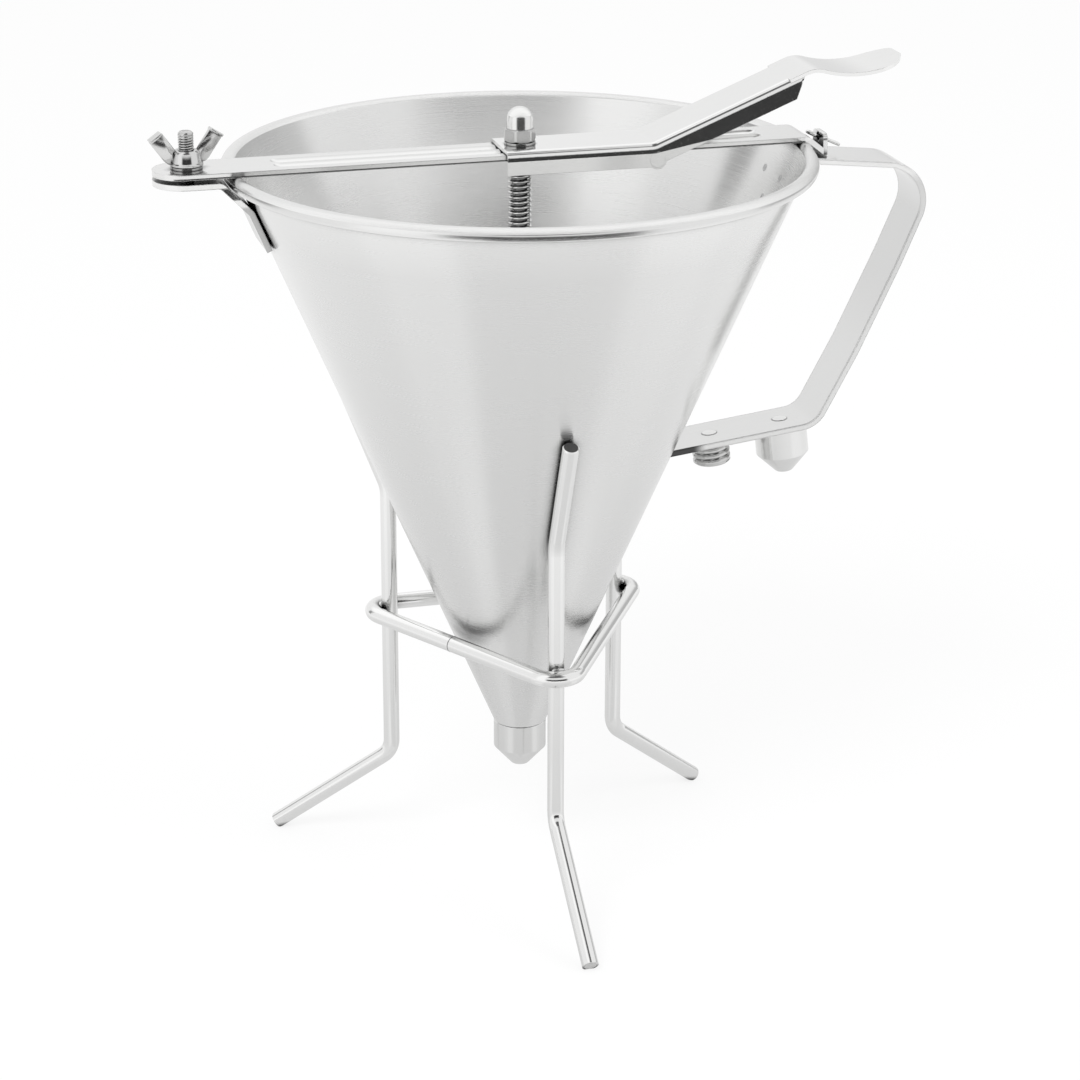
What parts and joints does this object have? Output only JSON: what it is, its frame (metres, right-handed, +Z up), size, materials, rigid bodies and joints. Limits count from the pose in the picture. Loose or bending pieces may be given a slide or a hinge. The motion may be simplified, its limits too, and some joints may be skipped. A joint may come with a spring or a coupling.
{
  "type": "confectionery funnel",
  "caption": "Conical steel confectionery funnel with a thumb-lever plunger valve under a crossbar, a strap handle, a screw-on nozzle with a spare, and a three-legged wire stand.",
  "frame": {"origin": "on the funnel's axis, in the plane of the stand's feet", "axes": "+Z up along the funnel's axis, +X towards the handle, -Y towards the front leg"},
  "size_m": [0.2537, 0.19, 0.2723],
  "materials": {
    "cone_steel": "finely brushed round the axis",
    "strip_steel": "polished strip",
    "lever_steel": "polished pressing",
    "nut_steel": "polished turned steel",
    "thread_steel": "turned thread",
    "nozzle_steel": "polished turned steel",
    "rod_steel": "turned steel",
    "spring_steel": "bright drawn wire",
    "wire_steel": "bright drawn wire"
  },
  "bodies": {
    "stand": {"stand_ring": "wire_steel", "stand_leg_front": "wire_steel", "stand_leg_right": "wire_steel", "stand_leg_left": "wire_steel"},
    "funnel": {"funnel_cone": "cone_steel", "outlet_spigot": "rod_steel", "clamp_bracket": "strip_steel", "clamp_stud": "thread_steel", "crossbar": "strip_steel", "pivot_bush": "strip_steel", "handle": "strip_steel", "latch_lug": "strip_steel", "nozzle_stud_inner": "thread_steel", "nozzle_stud_outer": "thread_steel"},
    "lever": {"thumb_lever": "lever_steel", "pivot_pin": "lever_steel"},
    "plunger": {"plunger_rod": "rod_steel", "acorn_nut": "nut_steel", "lift_washer": "nut_steel", "return_spring": "spring_steel"},
    "clamp_ring": {"clamp_washer": "nut_steel"},
    "wing": {"wing_nut": "nut_steel"},
    "outlet": {"outlet_nozzle": "nozzle_steel"},
    "spare": {"spare_nozzle": "nozzle_steel"},
    "pin": {"split_pin": "wire_steel"}
  },
  "joints": [
    {"name": "funnel_lift", "type": "slide", "parent": "stand", "child": "funnel", "axis": [0, 0, 1], "range_m": [0, 0.14]},
    {"name": "lever_press", "type": "hinge", "parent": "funnel", "child": "lever", "pos_m": [0.0425, 0, 0.24385], "axis": [0, 1, 0], "range_deg": [0, 10]},
    {"name": "plunger_lift", "type": "slide", "parent": "funnel", "child": "plunger", "axis": [0, 0, 1], "range_m": [0, 0.0086], "stiffness_N_per_m": 300, "springref_m": -0.005, "deforming": ["return_spring"]},
    {"name": "clamp_rise", "type": "slide", "parent": "funnel", "child": "clamp_ring", "axis": [0, 0, 1], "range_m": [0, 0.0041]},
    {"name": "wing_nut_turn", "type": "hinge", "parent": "clamp_ring", "child": "wing", "pos_m": [-0.1067, 0, 0.25], "axis": [0, 0, 1], "range_deg": [0, 1800]},
    {"name": "outlet_nozzle_off", "type": "slide", "parent": "funnel", "child": "outlet", "axis": [0, 0, -1], "range_m": [0, 0.012]},
    {"name": "spare_nozzle_off", "type": "slide", "parent": "funnel", "child": "spare", "axis": [0.1184, 0, -0.993], "range_m": [0, 0.012]},
    {"name": "split_pin_out", "type": "slide", "parent": "funnel", "child": "pin", "axis": [-0.9135, 0, 0.4067], "range_m": [0, 0.009]}
  ],
  "couplings": [
    {"joint": "plunger_lift", "follows": "lever_press", "m_per_rad": 0.0488},
    {"joint": "clamp_rise", "follows": "wing_nut_turn", "m_per_rad": 0.00012732}
  ]
}
